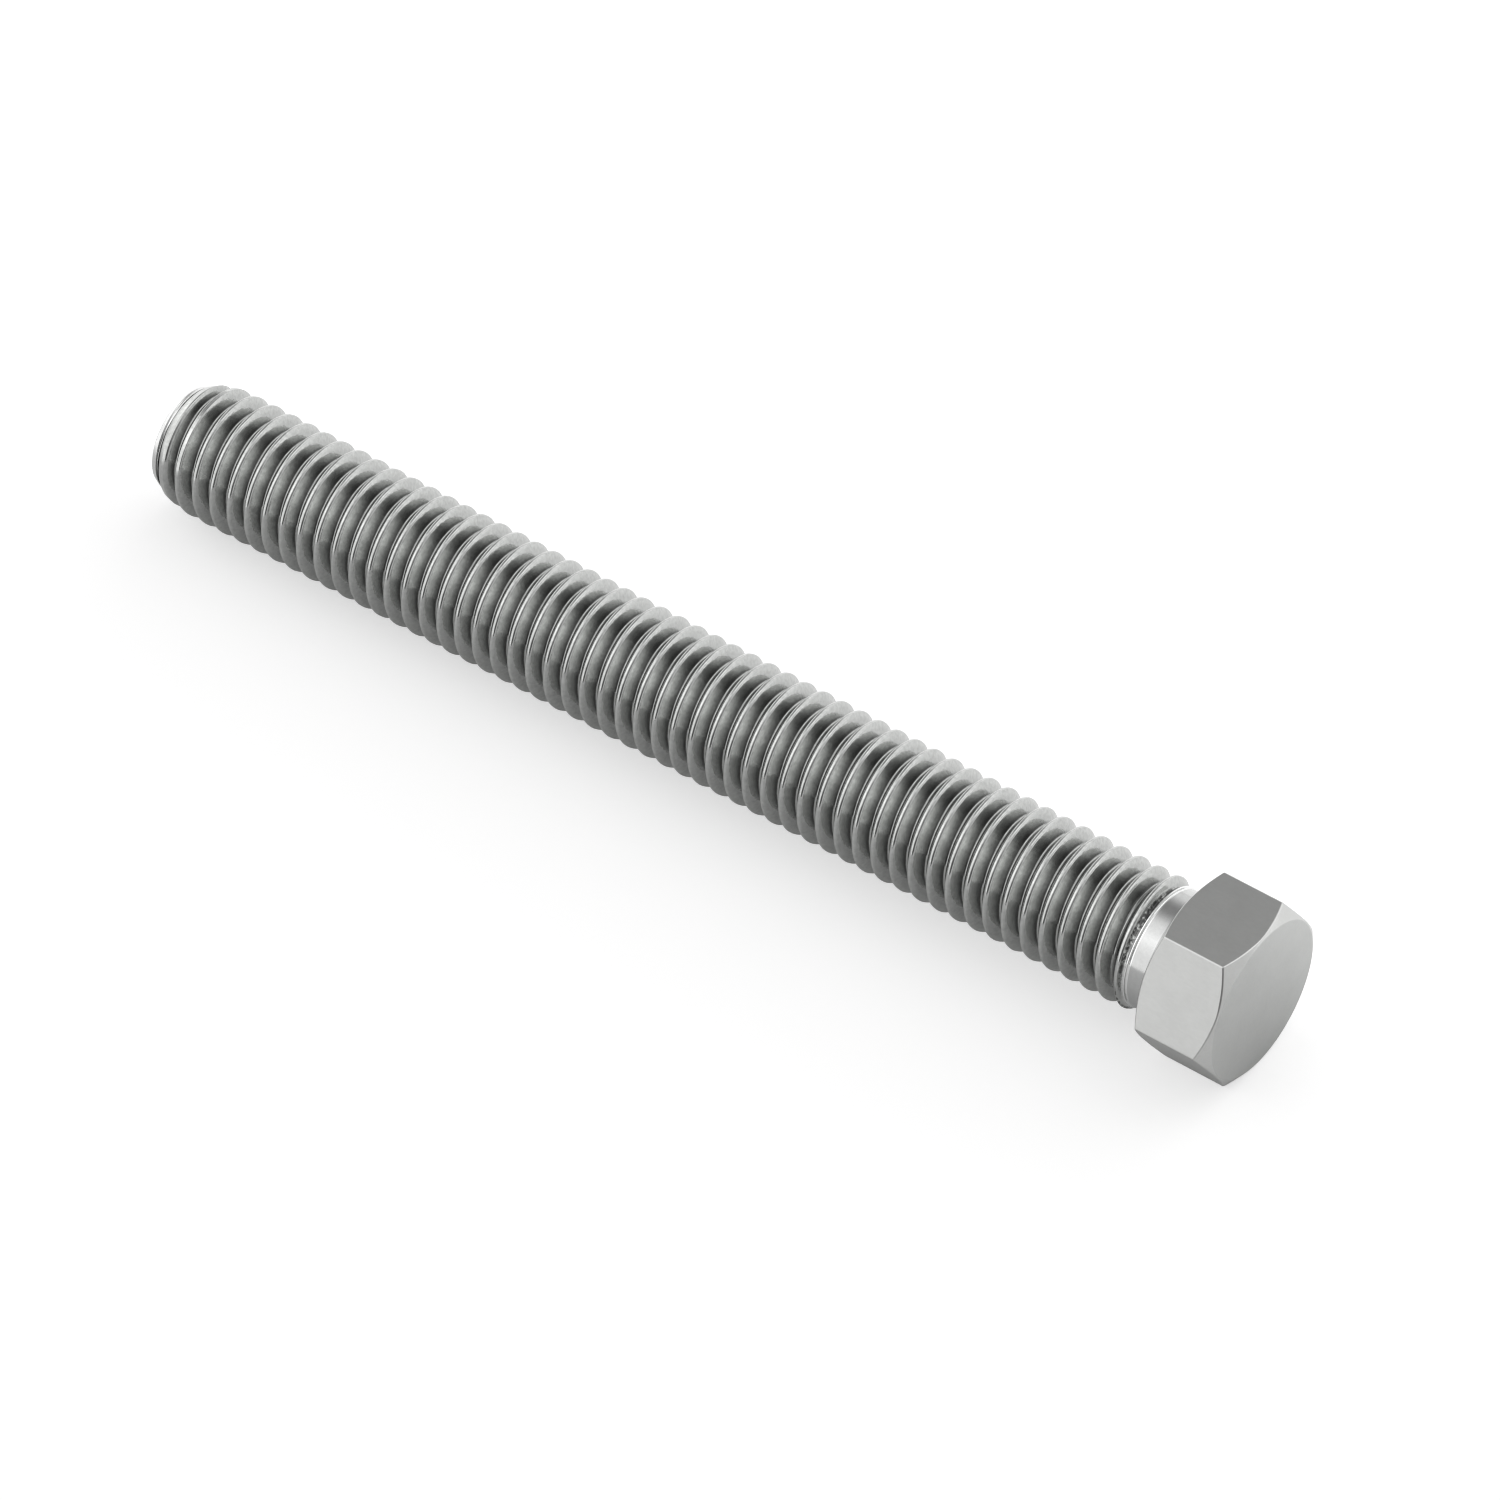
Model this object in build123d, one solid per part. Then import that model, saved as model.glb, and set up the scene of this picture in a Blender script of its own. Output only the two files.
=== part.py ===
from build123d import *
import math
import os

# Hex bolt, fully threaded, M8 x 1.25, right hand, in one piece.
# Frame of the finished bolt: +X runs along the axis from the tip to the head, the origin
# is the centre of the bearing face under the head, +Z is up, one hexagon flat faces down.
# It is built about Z with the head up, and turned into that frame at the end.

# ---- thread, mm ---------------------------------------------------------------------
length = 69.46              # bearing face to tip
pitch = 1.25
r_crest = 7.82 / 2
r_pitch = 7.12 / 2
r_root = 6.42 / 2           # at the bottom of the rounded root
flank_deg = 30.0            # half of the 60 degree thread form
root_arc_deg = (0, 30, 60)  # points on the root arc, from its bottom to the flank
crest_flat = 0.12           # flat width left between the two eased crest edges
crest_edge = 0.043          # radial height of those edges
crest_phase = -2.570        # axial place of a crest at the finished bolt's +Y
first_turn = -54            # counted from crest_phase; lies below the tip
turns = 56                  # enough to run on above the run-out

# ---- tip chamfer: radii, and distances from the tip ---------------------------------
tip_face_r = 3.00           # flat face
tip_edge = 0.06             # small break on the edge of that face
tip_knee_r = 3.58           # end of the steep part of the chamfer
tip_knee = 1.10
tip_soft_r = 3.82           # end of the shallower part
tip_soft = 1.95
clear_r = r_crest + 0.4     # envelope radius, clear of the crests
tip_clear = 4.00            # where the envelope reaches clear_r

# ---- run-out and neck: depths are below the bearing face ----------------------------
r_neck = 7.12 / 2
fillet_r = 0.42             # fillet under the head
runout_start = 3.10         # the last full crest starts to fade
neck_end = 1.56             # the fading crest meets the neck
thread_top = 1.10           # the thread body ends, inside the neck
fill_start = 2.95           # the cone that closes the last groove starts
fill_end = 1.98             # and reaches the neck
fill_sink = 0.21            # how far the cone starts inside the root
head_overlap = 0.3          # how far the neck reaches up into the head

# ---- head ---------------------------------------------------------------------------
hex_af = 9.80               # across flats
head_h = 5.02
end_face_r = 4.78           # round face on the outer end
end_depth = 0.63            # outer chamfer depth at the hexagon corners
bearing_r = 4.70            # outer radius of the bearing face
bearing_depth = 0.55        # inner chamfer depth at the hexagon corners

seam_turn = Rot(0, 0, 78)   # keeps the seams of round bodies away from every corner


# ---- thread -------------------------------------------------------------------------
def thread_profile():
    """(radius, axial) points of one pitch: root, flank, eased crest, flank, root."""
    flank_rise = 1 / math.tan(math.radians(flank_deg))
    apex = r_pitch + pitch / 4 * flank_rise       # where the flanks would meet outside
    valley = r_pitch - pitch / 4 * flank_rise     # and inside
    root_round = r_root - valley                  # arc radius, tangent to both flanks
    half = []
    for degrees in root_arc_deg:
        angle = math.radians(degrees)
        radius = r_root + root_round - root_round * math.cos(angle)
        half.append((radius, -pitch / 2 + root_round * math.sin(angle)))
    r_edge = r_crest - crest_edge
    half += [(r_edge, -(apex - r_edge) / flank_rise), (r_crest, -crest_flat / 2)]
    return half + [(r, -z) for r, z in reversed(half)]


def helix(radius, z):
    """One right-hand turn of the thread's pitch, starting over the build +X at height z."""
    return Edge.make_helix(pitch, pitch, radius).moved(Location((0, 0, z)))


def end_faces(profile, z):
    """One turn of helicoid from the axis to the root, and the flat step that closes it."""
    axis = Edge.make_line((0, 0, z), (0, 0, z + pitch))
    outline = [(r, 0, z + pitch / 2 + dz) for r, dz in profile]
    step = Wire.make_polygon([(0, 0, z)] + outline + [(0, 0, z + pitch)], close=True)
    return [Face.make_surface_from_curves(helix(r_root, z), axis), Face(step)]


def make_screw():
    """Endless-looking screw: helical strips, one turn at a time, closed at both ends."""
    profile = thread_profile()
    strips = [
        Face.make_surface_from_curves(helix(*start), helix(*end))
        for start, end in zip(profile, profile[1:])
    ]
    faces = []
    for n in range(first_turn, first_turn + turns):
        faces += [strip.moved(Location((0, 0, crest_phase + n * pitch))) for strip in strips]
    z_first = crest_phase + (first_turn - 0.5) * pitch
    faces += end_faces(profile, z_first) + end_faces(profile, z_first + turns * pitch)
    return Part() + Solid(Shell(faces))


def make_envelope():
    """Round body that trims the screw: tip chamfer below, cone that fades the crest above."""
    z_tip = -length
    fade = (r_crest - r_neck) / (runout_start - neck_end)    # radius lost per mm
    outline = [
        (0, z_tip),
        (tip_face_r, z_tip),
        (tip_face_r + tip_edge, z_tip + tip_edge),
        (tip_knee_r, z_tip + tip_knee),
        (tip_soft_r, z_tip + tip_soft),
        (clear_r, z_tip + tip_clear),
        (clear_r, -runout_start - (clear_r - r_crest) / fade),
        (r_crest - fade * (runout_start - thread_top), -thread_top),
        (0, -thread_top),
    ]
    face = make_face(Plane.XZ * Polyline(*outline, close=True))
    return seam_turn * revolve(face, Axis.Z)


# ---- neck ---------------------------------------------------------------------------
def make_neck():
    """Plain neck with the fillet under the head and the cone in the last groove."""
    r_fillet = r_neck + fillet_r
    side = [
        (0, -fill_start),
        (r_root - fill_sink, -fill_start),
        (r_neck, -fill_end),
        (r_neck, -fillet_r),
    ]
    top = [(r_fillet, 0), (r_fillet, head_overlap), (0, head_overlap), side[0]]
    with BuildPart() as neck:
        with BuildSketch(Plane.XZ):
            with BuildLine():
                Polyline(*side)
                RadiusArc(side[-1], top[0], -fillet_r)
                Polyline(*top)
            make_face()
        revolve(axis=Axis.Z)
    return seam_turn * neck.part


# ---- head ---------------------------------------------------------------------------
def make_head():
    """Hexagonal prism, corners on the build X axis, chamfered by a ball at each end."""
    corner_r = hex_af / math.sqrt(3)

    def ball(edge_r, edge_z, corner_z):
        """Ball through a face's round edge and the prism's corner edges at corner_z."""
        rise = corner_r**2 + corner_z**2 - edge_r**2 - edge_z**2
        centre = rise / (2 * (corner_z - edge_z))
        radius = math.hypot(edge_r, edge_z - centre)
        return Pos(0, 0, centre) * seam_turn * Sphere(radius)

    prism = extrude(RegularPolygon(corner_r, 6, major_radius=True), head_h)
    outer_ball = ball(end_face_r, head_h, head_h - end_depth)
    return prism & outer_ball & ball(bearing_r, 0, bearing_depth)


# ---- bolt ---------------------------------------------------------------------------
thread = make_screw() & make_envelope()
bolt = (thread + make_neck()) + make_head()

# Build Z becomes the finished X, and build X the finished Y.
bolt_frame = Plane(origin=(0, 0, 0), x_dir=(0, 1, 0), z_dir=(1, 0, 0))
hex_bolt = bolt.solids()[0].moved(bolt_frame.location)

os.makedirs("parts", exist_ok=True)
export_step(hex_bolt, "parts/hex_bolt.step")
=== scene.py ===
"""A bright steel hex bolt lying on white paper.

The bolt's axis is X: the bearing face of the head is at x = 0, the head reaches to +X and the
threaded shank to -X. Two flats of the head face +Z and -Z, and two of its corners point to +Y
and -Y. Angles about the axis run from +Y towards +Z. Sizes are in mm and MM turns them into
metres.
"""
import math

import bpy
import numpy as np
from mathutils import Matrix, Vector


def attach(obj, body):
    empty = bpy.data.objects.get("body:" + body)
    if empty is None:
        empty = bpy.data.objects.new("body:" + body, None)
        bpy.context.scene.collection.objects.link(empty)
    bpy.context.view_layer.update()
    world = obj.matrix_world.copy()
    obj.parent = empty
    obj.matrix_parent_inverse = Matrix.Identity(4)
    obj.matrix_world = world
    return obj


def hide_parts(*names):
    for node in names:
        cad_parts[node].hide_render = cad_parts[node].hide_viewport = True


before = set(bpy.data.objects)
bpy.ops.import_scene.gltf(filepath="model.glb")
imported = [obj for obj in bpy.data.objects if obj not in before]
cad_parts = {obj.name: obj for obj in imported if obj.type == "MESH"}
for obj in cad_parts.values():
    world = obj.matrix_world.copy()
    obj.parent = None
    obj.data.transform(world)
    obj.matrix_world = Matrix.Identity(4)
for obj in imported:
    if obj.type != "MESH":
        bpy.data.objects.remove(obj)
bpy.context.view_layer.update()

MM = 0.001
COS_30 = math.cos(math.radians(30))
TAN_30 = math.tan(math.radians(30))

# ---------------------------------------------------------------- bolt sizes
PITCH = 1.25
CREST_R, PITCH_R, ROOT_R = 3.91, 3.56, 3.15
CREST_X = -2.570                        # a crest crosses +Y here
SHANK_LENGTH = 69.46
NECK_R = 3.56
FILLET_R = 0.42                         # between the neck and the bearing face

ACROSS_FLATS = 9.80
HALF_FLATS = ACROSS_FLATS / 2
CORNER_R = ACROSS_FLATS / math.sqrt(3)
HEAD_HEIGHT = 5.02
END_EDGE_R, END_CHAMFER = 4.78, 0.63            # radius of the flat face, axial chamfer depth
BEARING_EDGE_R, BEARING_CHAMFER = 4.70, 0.55

TIP_X = -SHANK_LENGTH
TIP_FACE_R = 2.94
TIP_DISH = 0.02                         # the middle of the tip face is this much deeper
TIP_EDGE_DEPTH, TIP_EDGE_WIDTH = 0.075, 0.10    # small rounded edge of the tip face
LAP_X = TIP_X + 0.56                    # groove left by rolling
THREAD_END_X = -1.42                    # the material changes to that of the neck here

AROUND = 96                             # points in a ring of the shank
ANGLES = np.arange(AROUND) * 2 * math.pi / AROUND

# Outlines of (x, radius): the first two limit the thread from outside, the third from inside.
TIP_ENVELOPE = [
    (TIP_X, 3.02), (TIP_X + 0.06, 3.08), (TIP_X + 0.60, 3.34), (TIP_X + 1.10, 3.62),
    (TIP_X + 1.95, 3.83), (TIP_X + 2.9, 3.93), (TIP_X + 4.0, 4.2), (0, 4.2),
]
NECK_ENVELOPE = [
    (-3.35, 4.15), (-2.05, 4.00), (-1.95, 3.91), (-1.86, 3.79), (-1.78, 3.68), (-1.70, 3.55),
    (-1.0, 3.4),
]
NECK_CORE = [
    (-3.6, 3.0), (-2.9, 3.18), (-2.2, 3.36), (-1.86, 3.45), (-1.76, 3.49), (-1.70, 3.60),
    (-1.66, 3.65), (-1.575, 3.65), (-1.54, 3.53), (-1.50, NECK_R), (0, NECK_R),
]

# Material slots
HEAD, END_FACE, NECK, THREAD, TIP, LAP = range(6)

# ---------------------------------------------------------------- thread form
FLANK_SLOPE = math.sqrt(3)              # radial drop for each mm along a flank
CREST_ROUND, ROOT_ROUND = 0.175, 0.12

# Distances from the middle of a crest: end of its flat part, start of the flank
CREST_FLAT = PITCH / 4 - (CREST_R - PITCH_R) / FLANK_SLOPE - CREST_ROUND * TAN_30
FLANK_START = CREST_FLAT + CREST_ROUND * 0.866      # close to cos(30 degrees)
# Distances from the middle of a root: end of its flat part, start of the flank
ROOT_FLAT = PITCH / 4 - (PITCH_R - ROOT_R) / FLANK_SLOPE - ROOT_ROUND * TAN_30
ROOT_EDGE = ROOT_FLAT + ROOT_ROUND * COS_30


def thread_form(from_crest):
    """Radius at an axial distance (0 to PITCH / 2) from the middle of a crest."""
    r = PITCH_R + (PITCH / 4 - from_crest) * FLANK_SLOPE
    drop = np.clip(CREST_ROUND ** 2 - np.clip(from_crest - CREST_FLAT, 0, CREST_ROUND) ** 2,
                   0, None)
    r = np.where(from_crest < FLANK_START, CREST_R - CREST_ROUND + np.sqrt(drop), r)
    r = np.where(from_crest < CREST_FLAT, CREST_R, r)
    from_root = PITCH / 2 - from_crest
    rise = np.clip(ROOT_ROUND ** 2 - np.clip(from_root - ROOT_FLAT, 0, ROOT_ROUND) ** 2, 0, None)
    return np.where(from_root < ROOT_EDGE, ROOT_R + ROOT_ROUND - np.sqrt(rise), r)


# Axial stations over one pitch, close together on the crest edges and in the root
half_pitch = np.concatenate([
    [0.0, CREST_FLAT * 0.6, CREST_FLAT],
    CREST_FLAT + (FLANK_START - CREST_FLAT) * np.array([0.2, 0.4, 0.6, 0.8, 1.0]),
    FLANK_START + (PITCH / 2 - ROOT_EDGE - FLANK_START) * np.array([0.33, 0.67, 1.0]),
    PITCH / 2 - ROOT_EDGE * np.array([0.72, 0.45, 0.2, 0.0]),
])
STATIONS = np.concatenate([half_pitch, PITCH - half_pitch[-2:0:-1]])


def smooth_min(a, b, blend):
    h = np.clip(0.5 + 0.5 * (b - a) / blend, 0, 1)
    return b * (1 - h) + a * h - blend * h * (1 - h)


def smooth_max(a, b, blend):
    return -smooth_min(-a, -b, blend)


def outline(x, table):
    return np.interp(x, *zip(*table))


def ripple(angle, turn, seed, spread, low=1, high=9):
    """Sum of seven random waves; low and high bound the count of waves around the bolt."""
    random = np.random.default_rng(seed)
    total = np.zeros_like(turn)
    for _ in range(7):
        around = int(random.integers(low, high))
        along = random.normal(0, spread)
        height = random.normal(0, 1)
        total += height * np.sin(around * angle + along * turn + random.uniform(0, 6.28))
    return total / 7


def shank_radius(x, angle):
    """Outer surface of the threaded shank and the neck."""
    from_helix = x - (CREST_X + PITCH * angle / (2 * math.pi))
    r = thread_form(np.abs((from_helix + PITCH / 2) % PITCH - PITCH / 2))
    turn = x * 2 * math.pi / PITCH
    # slight unevenness, most of it on the crests
    crest = np.clip((r - (CREST_R - 0.12)) / 0.12, 0, 1)
    r = (r + crest * 0.009 * ripple(angle, turn, seed=3, spread=0.9)
         + 0.003 * ripple(angle, turn, seed=5, spread=2.2))
    r = r + crest * 0.008 * ripple(angle, turn, seed=11, spread=1.4, low=10, high=24)
    r = smooth_min(r, outline(x, TIP_ENVELOPE), blend=0.035)
    # a thin lap left by rolling, where the thread starts on the chamfer
    r = r - 0.16 * np.exp(-((x - LAP_X) / 0.04) ** 2)
    r = smooth_min(r, outline(x, NECK_ENVELOPE), blend=0.05)
    return smooth_max(r, outline(x, NECK_CORE), blend=0.015)


# ---------------------------------------------------------------- mesh building
def ring_points(x, r, angles):
    x = np.broadcast_to(x, angles.shape)
    r = np.broadcast_to(r, angles.shape)
    return np.stack([x, r * np.cos(angles), r * np.sin(angles)], -1)


def shank_ring(x):
    return ring_points(x, shank_radius(np.full(AROUND, x), ANGLES), ANGLES)


class BoltMesh:
    """Vertices and faces of the bolt, grown ring by ring from the tip to the head."""

    def __init__(self):
        self.points, self.faces, self.face_slots = [], [], []
        self.count = 0
        self.ring = None                # vertex numbers of the newest ring

    def add(self, points):
        ids = np.arange(self.count, self.count + len(points))
        self.points.append(np.asarray(points, float))
        self.count += len(points)
        return ids

    def face(self, corners, slot):
        """Add a face; corners that coincide are merged, and a face without area is left out."""
        corners = list(dict.fromkeys(int(c) for c in corners))
        if len(corners) > 2:
            self.faces.append(corners)
            self.face_slots.append(slot)

    def join(self, ring, slot):
        """Quads from the newest ring to one of equal length, which becomes the newest."""
        n = len(ring)
        for i in range(n):
            j = (i + 1) % n
            self.face([self.ring[i], self.ring[j], ring[j], ring[i]], slot)
        self.ring = ring

    def grow(self, points, slot):
        self.join(self.add(points), slot)

    def fan(self, centre, slot, faces_tip=False):
        n = len(self.ring)
        for i in range(n):
            a, b = self.ring[i], self.ring[(i + 1) % n]
            self.face([b, a, centre] if faces_tip else [a, b, centre], slot)

    def bridge(self, angles, points, new_angles, slot):
        """Triangles to a new ring with another count of points; both are sorted by angle."""
        old, new = self.ring, self.add(points)
        n_old, n_new = len(old), len(new)
        i = j = 0
        while i < n_old or j < n_new:
            next_old = angles[i + 1] if i + 1 < n_old else angles[0] + 2 * math.pi
            next_new = new_angles[j + 1] if j + 1 < n_new else new_angles[0] + 2 * math.pi
            if j >= n_new or (i < n_old and next_old <= next_new):
                self.face([old[i % n_old], old[(i + 1) % n_old], new[j % n_new]], slot)
                i += 1
            else:
                self.face([old[i % n_old], new[(j + 1) % n_new], new[j % n_new]], slot)
                j += 1
        self.ring = new


def build_tip(bolt):
    """The dished tip face from its centre outwards, then its rounded edge."""
    centre = bolt.add([[TIP_X + TIP_DISH, 0, 0]])[0]
    face_rings = [ring_points(TIP_X + TIP_DISH * (1 - (r / TIP_FACE_R) ** 2), r, ANGLES)
                  for r in (0.5, 1.1, 1.7, 2.2, 2.6, 2.86)]
    bolt.ring = bolt.add(face_rings[0])
    bolt.fan(centre, TIP, faces_tip=True)
    for points in face_rings[1:]:
        bolt.grow(points, TIP)
    for part in (0.0, 0.25, 0.5, 0.75):
        a = part * math.pi / 2
        bolt.grow(ring_points(TIP_X + TIP_EDGE_DEPTH * (1 - math.cos(a)),
                              TIP_FACE_R + TIP_EDGE_WIDTH * math.sin(a), ANGLES), TIP)


def build_thread(bolt):
    """Plain rings on the chamfer, then a strip whose rows follow the helix.

    Crests and roots so lie along mesh edges. The first turn of the strip fans out from one
    point at angle 0, and the last turn closes to one point on the end ring.
    """
    chamfer_x = TIP_X + TIP_EDGE_DEPTH
    first_crest = math.ceil((chamfer_x + 0.1 - CREST_X) / PITCH)
    strip_x = CREST_X + PITCH * first_crest
    steps = round((strip_x - chamfer_x) / 0.02)
    for i in range(steps):
        x = chamfer_x + (strip_x - chamfer_x) * i / steps
        bolt.grow(shank_ring(x), LAP if abs(x - 0.01 - LAP_X) < 0.036 else TIP)

    turns = 1 - first_crest
    rows = turns * AROUND
    turn = np.arange(rows) // AROUND
    part = (np.arange(rows) % AROUND) / AROUND      # of the way round the turn
    angle = 2 * math.pi * part
    row_x = np.where(turn == 0, strip_x, strip_x + PITCH * (turn - 1 + part))
    width = np.where(turn == 0, part, np.where(turn == turns - 1, 1 - part, 1))

    # corners[row, station]; the extra column and row are the edges shared with what follows
    n_stations = len(STATIONS)
    corners = np.zeros((rows + 1, n_stations + 1), int)
    for s in range(n_stations):
        x = row_x + width * STATIONS[s]
        corners[:rows, s] = bolt.add(ring_points(x, shank_radius(x, angle), angle))
    corners[0, :] = corners[0, 0]
    corners[AROUND, 0] = corners[0, 0]
    bolt.join(corners[:AROUND, 0], TIP)

    end_x = strip_x + PITCH * (turns - 1)
    end_ring = bolt.add(shank_ring(end_x))
    corners[:rows - AROUND, n_stations] = corners[AROUND:rows, 0]
    corners[rows - AROUND:rows, n_stations] = end_ring
    corners[rows, :] = end_ring[0]
    for i in range(rows):
        for s in range(n_stations):
            bolt.face([corners[i, s], corners[i + 1, s],
                       corners[i + 1, s + 1], corners[i, s + 1]], THREAD)

    # run-out of the last turn
    bolt.ring = end_ring
    for x in np.linspace(end_x, THREAD_END_X, 66)[1:]:
        bolt.grow(shank_ring(x), THREAD)


def build_neck(bolt):
    """The plain neck, the fillet and the inner part of the bearing face."""
    for x in np.linspace(THREAD_END_X, -FILLET_R, 7)[1:]:
        bolt.grow(shank_ring(x), NECK)
    for a in np.linspace(0, math.pi / 2, 9)[1:]:
        bolt.grow(ring_points(-FILLET_R + FILLET_R * math.sin(a),
                              NECK_R + FILLET_R * (1 - math.cos(a)), ANGLES), NECK)
    bolt.grow(ring_points(0.0, 4.12, ANGLES), NECK)


# ---------------------------------------------------------------- head
SIDE_EDGE_ROUND = 0.14                  # of the six edges between the side flats
SIDE_EDGE_CENTRE = (HALF_FLATS - SIDE_EDGE_ROUND) / COS_30
SIDE_EDGE_ANGLE = math.atan2(SIDE_EDGE_ROUND * 0.5, SIDE_EDGE_CENTRE + SIDE_EDGE_ROUND * COS_30)
HEAD_INNER_R = 4.30                     # inner end of the head outline on both faces

# The outline has four rounded corners, from the bearing face to the end face
CORNER_ROUNDS = (0.10, 0.10, 0.20, 0.10)
CORNER_STEPS = (4, 6, 6, 5)
STRAIGHT_STEPS = (2, 3, 12, 3, 2)       # on the straight parts before, between and after them
# The end face begins with the last rounded corner
END_FACE_ROWS = CORNER_STEPS[-1] + STRAIGHT_STEPS[-1]


def head_angles():
    """Angles of the head's columns, close together on the rounded side edges."""
    offsets = [SIDE_EDGE_ANGLE * k / 4 for k in range(-4, 5)]
    for degrees in (1.2, 2.5, 4.5, 7, 10, 13.5, 17, 21, 25.5):
        offsets += [math.radians(degrees), -math.radians(degrees)]
    offsets.append(math.radians(30))
    return np.array(sorted((k * math.pi / 3 + offset) % (2 * math.pi)
                           for k in range(6) for offset in offsets))


def hexagon_radius(angle):
    off_corner = abs((angle + math.pi / 6) % (math.pi / 3) - math.pi / 6)
    if off_corner < SIDE_EDGE_ANGLE:
        across = SIDE_EDGE_CENTRE * math.sin(off_corner)
        return (SIDE_EDGE_CENTRE * math.cos(off_corner)
                + math.sqrt(max(0, SIDE_EDGE_ROUND ** 2 - across ** 2)))
    return HALF_FLATS / math.cos(math.pi / 6 - off_corner)


def round_corners(line, rounds, steps):
    """The (x, radius) line with arcs in place of its corners."""
    line = [np.array(p, float) for p in line]
    points = [line[0]]
    for before, corner, after, rounding, n in zip(line, line[1:], line[2:], rounds, steps):
        back, ahead = before - corner, after - corner
        back_length, ahead_length = np.linalg.norm(back), np.linalg.norm(ahead)
        back, ahead = back / back_length, ahead / ahead_length
        half_angle = math.acos(float(back @ ahead)) / 2
        # an arc takes up less than half of each straight part
        reach = min(rounding / math.tan(half_angle), 0.45 * back_length, 0.45 * ahead_length)
        radius = reach * math.tan(half_angle)
        bisector = (back + ahead) / np.linalg.norm(back + ahead)
        centre = corner + bisector * math.hypot(reach, radius)
        start = corner + back * reach - centre
        end = corner + ahead * reach - centre
        start_angle = math.atan2(start[1], start[0])
        end_angle = math.atan2(end[1], end[0])
        sweep = (end_angle - start_angle + math.pi) % (2 * math.pi) - math.pi
        for k in range(n + 1):
            a = start_angle + sweep * k / n
            points.append(centre + radius * np.array([math.cos(a), math.sin(a)]))
    points.append(line[-1])
    return points


def head_column(angle):
    """Outline of the head at one angle: bearing face, chamfer, flat, chamfer, end face."""
    side = hexagon_radius(angle)
    low_x = (side - BEARING_EDGE_R) * BEARING_CHAMFER / (CORNER_R - BEARING_EDGE_R)
    high_x = HEAD_HEIGHT - (side - END_EDGE_R) * END_CHAMFER / (CORNER_R - END_EDGE_R)
    line = round_corners(
        [(0.0, HEAD_INNER_R), (0.0, BEARING_EDGE_R), (low_x, side), (high_x, side),
         (HEAD_HEIGHT, END_EDGE_R), (HEAD_HEIGHT, HEAD_INNER_R)],
        CORNER_ROUNDS, CORNER_STEPS)
    steps = []
    for straight, arc in zip(STRAIGHT_STEPS, CORNER_STEPS):
        steps += [straight] + [1] * arc
    steps.append(STRAIGHT_STEPS[-1])
    points = [line[0]]
    for p, q, n in zip(line, line[1:], steps):
        points += [p + (q - p) * k / n for k in range(1, n + 1)]
    return points


def build_head(bolt):
    angles = head_angles()
    columns = np.array([head_column(a) for a in angles])        # angle, row, (x, radius)
    rings = [ring_points(columns[:, k, 0], columns[:, k, 1], angles)
             for k in range(columns.shape[1])]
    bolt.bridge(ANGLES, rings[0], angles, NECK)
    for k, points in enumerate(rings[1:], 1):
        bolt.grow(points, END_FACE if k >= len(rings) - END_FACE_ROWS else HEAD)
    for r in (3.8, 3.1, 2.4, 1.7, 1.0, 0.4):
        bolt.grow(ring_points(HEAD_HEIGHT, r, angles), END_FACE)
    bolt.fan(bolt.add([[HEAD_HEIGHT, 0, 0]])[0], END_FACE)


# ---------------------------------------------------------------- shader helpers
def add_node(tree, kind, inputs=None, **settings):
    """Add a node; each input is given a plain value or the output that feeds it."""
    node = tree.nodes.new("ShaderNode" + kind)
    for name, value in settings.items():
        setattr(node, name, value)
    for key, value in (inputs or {}).items():
        feed(tree, node, key, value)
    return node


def feed(tree, node, key, value):
    if isinstance(value, bpy.types.NodeSocket):
        tree.links.new(value, node.inputs[key])
    else:
        node.inputs[key].default_value = value


def add_math(tree, operation, *values):
    return add_node(tree, "Math", dict(enumerate(values)), operation=operation).outputs["Value"]


def add_range(tree, value, start, end, low=0.0, high=1.0, smooth=False):
    """Map start..end to low..high."""
    node = add_node(tree, "MapRange", {
        "Value": value, "From Min": start, "From Max": end, "To Min": low, "To Max": high,
    }, interpolation_type="SMOOTHSTEP" if smooth else "LINEAR")
    return node.outputs["Result"]


def add_noise(tree, vector, scale, detail):
    node = add_node(tree, "TexNoise", {"Vector": vector, "Scale": scale, "Detail": detail})
    return node.outputs["Fac"]


def add_mix(tree, factor, a, b, data_type="RGBA", **settings):
    node = add_node(tree, "Mix", data_type=data_type, **settings)
    for key, value in (("Factor", factor), ("A", a), ("B", b)):
        feed(tree, node, key, value)
    return node.outputs["Result"]


def new_material(name):
    material = bpy.data.materials.new(name)
    material.use_nodes = True
    return material, material.node_tree, material.node_tree.nodes["Principled BSDF"]


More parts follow.
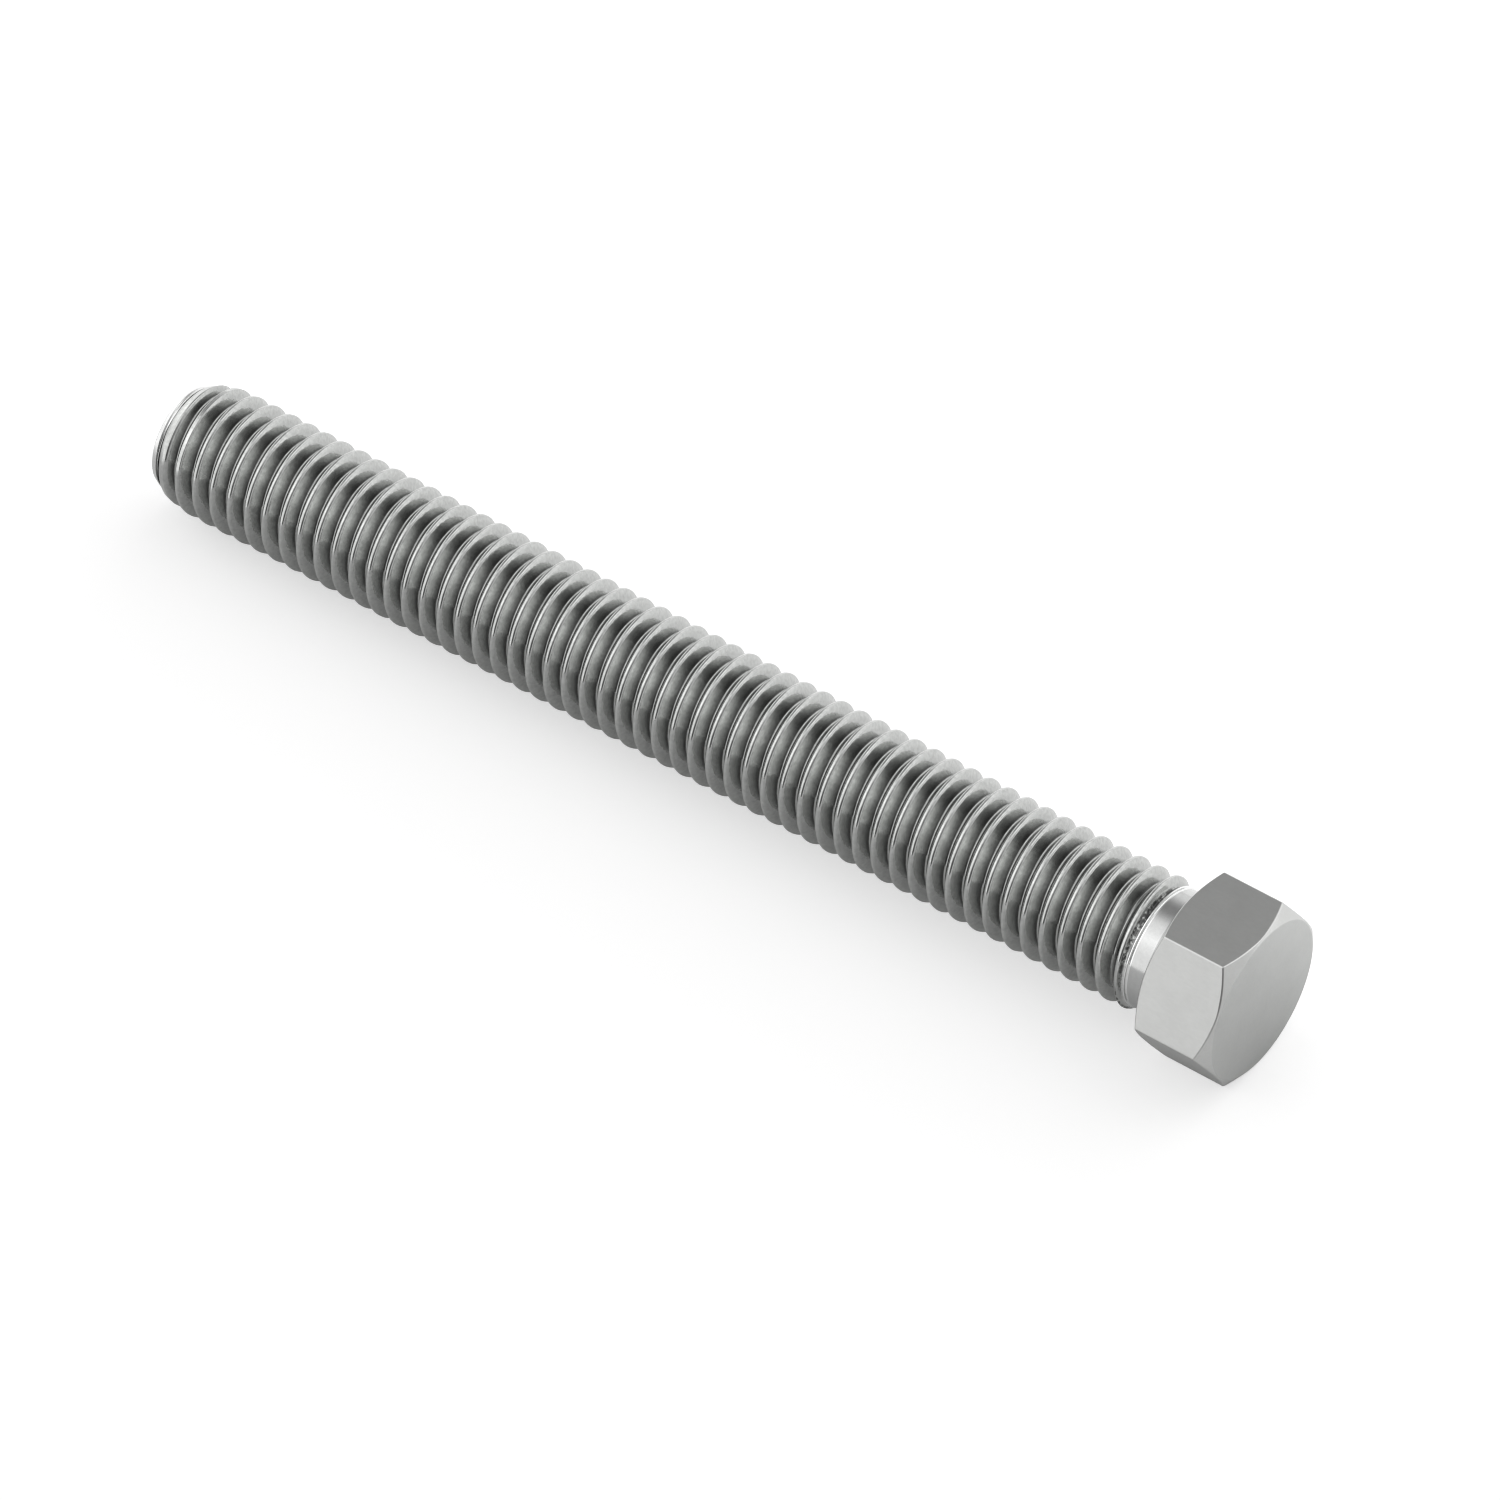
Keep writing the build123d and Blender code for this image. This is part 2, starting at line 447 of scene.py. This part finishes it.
# ---------------------------------------------------------------- steel
def start_steel(name, base, grain, stretch=(1, 1, 1)):
    """A metal with cloudy colour and fine grain; also returns the place in mm and the colour."""
    material, tree, bsdf = new_material(name)
    bsdf.inputs["Metallic"].default_value = 1.0
    place = add_node(tree, "TexCoord").outputs["Object"]
    per_mm = 1 / MM
    place_mm = add_node(tree, "Mapping", {
        "Vector": place, "Scale": (per_mm, per_mm, per_mm)}).outputs["Vector"]
    stretched = add_node(tree, "Mapping", {
        "Vector": place, "Scale": tuple(per_mm * s for s in stretch)}).outputs["Vector"]
    clouds = add_mix(tree, add_noise(tree, place_mm, scale=0.6, detail=3),
                     (*[c * 0.93 for c in base], 1), (*[c * 1.05 for c in base], 1))
    grain_fac = add_range(tree, add_noise(tree, stretched, scale=5.0, detail=3),
                          0.25, 0.75, low=1 - grain, high=1 + grain)
    colour = add_node(tree, "VectorMath", operation="SCALE")
    feed(tree, colour, 0, clouds)
    feed(tree, colour, "Scale", grain_fac)
    return material, tree, bsdf, place_mm, colour.outputs["Vector"]


def add_bump(tree, bsdf, place_mm, strength, scale):
    bump = add_node(tree, "Bump", {
        "Height": add_noise(tree, place_mm, scale=scale, detail=4),
        "Strength": strength,
        "Distance": 0.02 * MM,
    })
    feed(tree, bsdf, "Normal", bump.outputs["Normal"])


def steel(name, base, roughness, grain, stretch=(1, 1, 1), bump=0.0):
    material, tree, bsdf, place_mm, colour = start_steel(name, base, grain, stretch)
    bsdf.inputs["Roughness"].default_value = roughness
    feed(tree, bsdf, "Base Color", colour)
    if bump > 0:
        add_bump(tree, bsdf, place_mm, strength=bump, scale=6.6)
    return material


# (place, reflectance) over one pitch, from a crest towards the head and on to the next crest.
# The crests are brightest, a painted highlight; the corners beside the root are darkest, painted
# shade.
HELIX_PAINTED_LIGHT = [
    (0.0, 0.60), (0.035, 0.58), (0.075, 0.50), (0.16, 0.51), (0.22, 0.47),
    (0.28, 0.44), (0.35, 0.43), (0.405, 0.29), (0.44, 0.30), (0.465, 0.44),
    (0.505, 0.44), (0.53, 0.38), (0.57, 0.18), (0.65, 0.20), (0.70, 0.34),
    (0.78, 0.48), (0.85, 0.56), (0.91, 0.58), (0.965, 0.58), (1.0, 0.60),
]


def helix_place(tree, place_mm, x, y, z):
    """Place within the pitch, 0 to 1 from crest to crest, with a slightly uneven line."""
    wobble = 0.06
    angle = add_math(tree, "ARCTAN2", z, y)
    phase = add_math(tree, "MULTIPLY_ADD", angle, -1 / (2 * math.pi), -CREST_X / PITCH)
    pitches = add_math(tree, "MULTIPLY_ADD", x, 1 / PITCH, phase)
    uneven = add_noise(tree, place_mm, scale=2.6, detail=2)
    pitches = add_math(tree, "MULTIPLY_ADD", uneven, wobble, pitches)
    pitches = add_math(tree, "SUBTRACT", pitches, wobble / 2)
    return add_math(tree, "FLOORED_MODULO", pitches, 1.0)


def helix_painted_light_colour(tree, place):
    ramp = add_node(tree, "ValToRGB", {"Fac": place})
    elements = ramp.color_ramp.elements
    while len(elements) < len(HELIX_PAINTED_LIGHT):
        elements.new(0.5)
    # all places are set before the colours, so that the order of the elements is settled
    for element, (position, _) in zip(elements, HELIX_PAINTED_LIGHT):
        element.position = position
    for element, (_, value) in zip(elements, HELIX_PAINTED_LIGHT):
        element.color = (value, value * 1.015, value * 0.995, 1)
    return ramp.outputs["Color"]


def thread_steel():
    """Burnished thread, with bands of reflectance that follow the helix: a painted highlight on
    the crests and painted shade beside the roots.
    """
    material, tree, bsdf, place_mm, colour = start_steel(
        "thread_steel", base=(1.0, 1.0, 1.0), grain=0.13)
    roughness, spread = 0.135, 0.03
    feed(tree, bsdf, "Roughness", add_range(
        tree, add_noise(tree, place_mm, scale=2.6, detail=5),
        0.3, 0.7, low=roughness - spread, high=roughness + spread))
    axes = add_node(tree, "SeparateXYZ", {"Vector": place_mm}).outputs
    in_pitch = helix_place(tree, place_mm, axes["X"], axes["Y"], axes["Z"])
    # painted highlight on the crests and painted shade beside the roots, multiplied into the
    # colour along the helix
    colour = add_mix(tree, 1.0, colour, helix_painted_light_colour(tree, in_pitch), blend_type="MULTIPLY")

    # a mottled, darker valley before the neck: near the head, off the crest, in patches
    patches = add_noise(tree, place_mm, scale=4.5, detail=2)
    dark_patches = 0.85
    for value, start, end in ((axes["X"], -2.02, -1.95), (in_pitch, 0.07, 0.13),
                              (patches, 0.40, 0.52)):
        dark_patches = add_math(tree, "MULTIPLY", add_range(tree, value, start, end), dark_patches)
    colour = add_mix(tree, dark_patches, colour, (0.05, 0.05, 0.05, 1))

    # towards the head the thread runs out into the plain neck; this end is painted much lighter
    # than the neck steel, a painted highlight where the lip catches the soft box
    neck = add_range(tree, axes["X"], -1.82, -1.70)
    colour = add_mix(tree, neck, colour, (0.92, 0.925, 0.92, 1))
    feed(tree, bsdf, "Base Color", colour)
    add_bump(tree, bsdf, place_mm, strength=0.30, scale=5.72)
    return material


def bolt_materials():
    """In the order of the material slots."""
    return [
        steel("head_steel", base=(0.60, 0.605, 0.595), roughness=0.29, grain=0.025,
              stretch=(0.5, 1.2, 1.2)),
        # the end face is painted a little darker than the head's sides, painted shade
        steel("end_face_steel_painted_shade", base=(0.555, 0.563, 0.553), roughness=0.34, grain=0.02),
        steel("neck_steel", base=(0.63, 0.635, 0.63), roughness=0.16, grain=0.04, bump=0.05),
        thread_steel(),
        # the tip steel is painted lighter than the head and neck steel, a painted highlight
        # where the tip catches the light
        steel("tip_steel_painted_highlight", base=(0.78, 0.785, 0.78), roughness=0.22, grain=0.05, bump=0.08),
        # the lap groove is painted nearly black, painted shade in the crease
        steel("tip_lap_painted_shade", base=(0.09, 0.09, 0.09), roughness=0.35, grain=0.10),
    ]


# ---------------------------------------------------------------- bolt
def set_area_weighted_normals(mesh):
    """Keep the flats flat right up to their rounded edges."""
    mesh.calc_loop_triangles()
    triangles = np.zeros(len(mesh.loop_triangles) * 3, np.int32)
    mesh.loop_triangles.foreach_get("vertices", triangles)
    triangles = triangles.reshape(-1, 3)
    places = np.zeros(len(mesh.vertices) * 3)
    mesh.vertices.foreach_get("co", places)
    places = places.reshape(-1, 3)
    a, b, c = (places[triangles[:, k]] for k in range(3))
    face_normals = np.cross(b - a, c - a)
    normals = np.zeros_like(places)
    for k in range(3):
        np.add.at(normals, triangles[:, k], face_normals)
    normals /= np.maximum(np.linalg.norm(normals, axis=1, keepdims=True), 1e-20)
    mesh.normals_split_custom_set_from_vertices([tuple(n) for n in normals])


def make_bolt():
    shape = BoltMesh()
    build_tip(shape)
    build_thread(shape)
    build_neck(shape)
    build_head(shape)

    mesh = bpy.data.meshes.new("hex_bolt_finished")
    vertices = np.concatenate(shape.points) * MM
    mesh.from_pydata([tuple(v) for v in vertices], [], shape.faces)
    for material in bolt_materials():
        mesh.materials.append(material)
    mesh.polygons.foreach_set("material_index", shape.face_slots)
    mesh.polygons.foreach_set("use_smooth", [True] * len(mesh.polygons))
    mesh.validate()
    mesh.update()
    bolt = bpy.data.objects.new("hex_bolt_finished", mesh)
    bpy.context.scene.collection.objects.link(bolt)
    set_area_weighted_normals(mesh)
    return bolt


bolt = make_bolt()
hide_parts("hex_bolt")
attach(bolt, "root")


# ---------------------------------------------------------------- floor
def paper():
    """White for the camera; shaded from place to place in what it sends to the bolt."""
    material, tree, bsdf = new_material("floor_paper")
    camera_ray = add_node(tree, "LightPath").outputs["Is Camera Ray"]
    position = add_node(tree, "NewGeometry").outputs["Position"]
    axes = add_node(tree, "SeparateXYZ", {"Vector": position}).outputs

    def fade(axis, start, end, low=0.0, high=1.0):
        return add_range(tree, axes[axis], start * MM, end * MM, low, high, smooth=True)

    # painted light: the glow is lighter behind the bolt (+Y), beyond the head (+X) and beyond
    # the tip (-X)
    beyond_tip = fade("X", -73, -92)
    glow = add_math(tree, "MAXIMUM", fade("Y", -4, 16, low=0.05, high=0.40),
                    fade("X", 2, 9, high=0.20))
    glow = add_math(tree, "MAXIMUM", glow, add_math(tree, "MULTIPLY", beyond_tip, 0.5))
    other_ray = add_math(tree, "SUBTRACT", 1.0, camera_ray)
    glow = add_math(tree, "MAXIMUM", add_math(tree, "MULTIPLY", camera_ray, 0.54),
                    add_math(tree, "MULTIPLY", other_ray, glow))
    bsdf.inputs["Emission Color"].default_value = (1, 1, 1, 1)
    feed(tree, bsdf, "Emission Strength", glow)

    # painted shadow: the colour is a little darker in front of the bolt (-Y), where its shadow
    # falls
    shade = add_math(tree, "MAXIMUM", fade("Y", -6, 10, low=0.70),
                     add_math(tree, "MULTIPLY", camera_ray, 0.70))
    shade = add_math(tree, "MAXIMUM", shade, beyond_tip)
    colour = add_node(tree, "VectorMath", {0: (0.82, 0.82, 0.82), "Scale": shade},
                      operation="SCALE")
    feed(tree, bsdf, "Base Color", colour.outputs["Vector"])
    bsdf.inputs["Roughness"].default_value = 0.9
    bsdf.inputs["Specular IOR Level"].default_value = 0.2
    return material


def make_floor():
    """Tilted, as the bolt lies on one flat of the head and on the crests near its tip."""
    tip_rest_r = 3.83
    rest_span = 67.6                    # along X between the two places of rest
    gap = 0.01
    tilt = math.atan((HALF_FLATS - tip_rest_r) / rest_span)
    contact = Vector((0.115, 0, -HALF_FLATS)) * MM
    normal = Vector((math.sin(tilt), 0, math.cos(tilt)))
    bpy.ops.mesh.primitive_plane_add(size=1.0, location=(0, 0, 0))
    floor = bpy.context.object
    floor.name = "floor"
    floor.scale = (8, 8, 1)
    floor.rotation_euler = (0, tilt, 0)
    floor.location = contact - normal * (gap * MM)
    floor.data.materials.append(paper())
    return floor


make_floor()

# ---------------------------------------------------------------- light
ROOM_LEVEL = 0.78
# Soft patches laid over the room in turn; left and right are as the camera sees them.
# Direction, full within and gone beyond (degrees from the direction), level
PATCHES = [
    ((-0.71, -0.41, 0.57), 12, 62, 1.32),       # large soft box, front left
    ((0.25, 0.92, 0.31), 12, 55, 1.22),         # second one, behind on the right
    ((0.22, 0.50, 0.84), 6, 32, 1.45),          # its upper end
    ((-0.50, 0.50, 0.71), 6, 36, 0.28),         # gap between them, high up
    ((0.42, -0.58, 0.70), 13, 44, 0.34),        # camera side of the room
    ((0.33, -0.93, 0.12), 16, 42, 0.13),        # dark low patch at the front
    ((-0.58, -0.47, 0.67), 4, 20, 1.75),        # hot centre of the large soft box
    ((-0.42, -0.90, 0.08), 8, 24, 1.14),        # low fill at the front left
    ((0.73, 0.67, 0.10), 8, 26, 1.32),          # low fill on the right
    ((-0.76, 0.50, 0.42), 8, 26, 0.50),         # darker far corner on the left
    ((-0.94, 0.28, 0.12), 10, 28, 1.40),        # bright patch below it
]


def patch_mask(tree, view, direction, inner, outer):
    """1 within the inner angle of the direction, 0 beyond the outer one."""
    unit = add_node(tree, "VectorMath", {0: view}, operation="NORMALIZE").outputs["Vector"]
    cosine = add_node(tree, "VectorMath", {0: unit, 1: Vector(direction).normalized()},
                      operation="DOT_PRODUCT").outputs["Value"]
    angle = add_math(tree, "ARCCOSINE", cosine)
    return add_range(tree, angle, math.radians(outer), math.radians(inner), smooth=True)


def make_world():
    """The studio room, which the camera itself sees as plain white."""
    world = bpy.data.worlds.new("studio")
    world.use_nodes = True
    tree = world.node_tree
    tree.nodes.clear()
    view = add_node(tree, "TexCoord").outputs["Generated"]
    level = ROOM_LEVEL
    for direction, inner, outer, patch_level in PATCHES:
        mask = patch_mask(tree, view, direction, inner, outer)
        level = add_mix(tree, mask, level, patch_level, data_type="FLOAT")
    room, white = (
        add_node(tree, "Background", {"Color": (1, 1, 1, 1), "Strength": strength})
        for strength in (level, 1.0))
    seen = add_node(tree, "MixShader", {
        "Fac": add_node(tree, "LightPath").outputs["Is Camera Ray"],
        1: room.outputs["Background"],
        2: white.outputs["Background"],
    })
    add_node(tree, "OutputWorld", {"Surface": seen.outputs["Shader"]})
    return world


scene = bpy.context.scene
scene.view_settings.view_transform = "Standard"
scene.view_settings.look = "None"
scene.cycles.filter_width = 1.2
scene.world = make_world()

# ---------------------------------------------------------------- camera
CAMERA_PLACE = (202.46589986, -288.76756016, 405.94589677)
CAMERA_AXES = (
    (0.80309288, 0.59479324, -0.03553629),      # to its right
    (-0.42154225, 0.60929438, 0.67161185),      # up
    (0.42112225, -0.52438665, 0.74005046),      # backwards, away from the bolt
)


def make_camera():
    lens = bpy.data.cameras.new("camera")
    camera = bpy.data.objects.new("camera", lens)
    scene.collection.objects.link(camera)
    lens.sensor_width = 36
    lens.lens = 238.449
    lens.clip_start = 0.01
    lens.clip_end = 20
    camera.matrix_world = (Matrix.Translation(Vector(CAMERA_PLACE) * MM)
                           @ Matrix(CAMERA_AXES).transposed().to_4x4())
    return camera


scene.camera = make_camera()
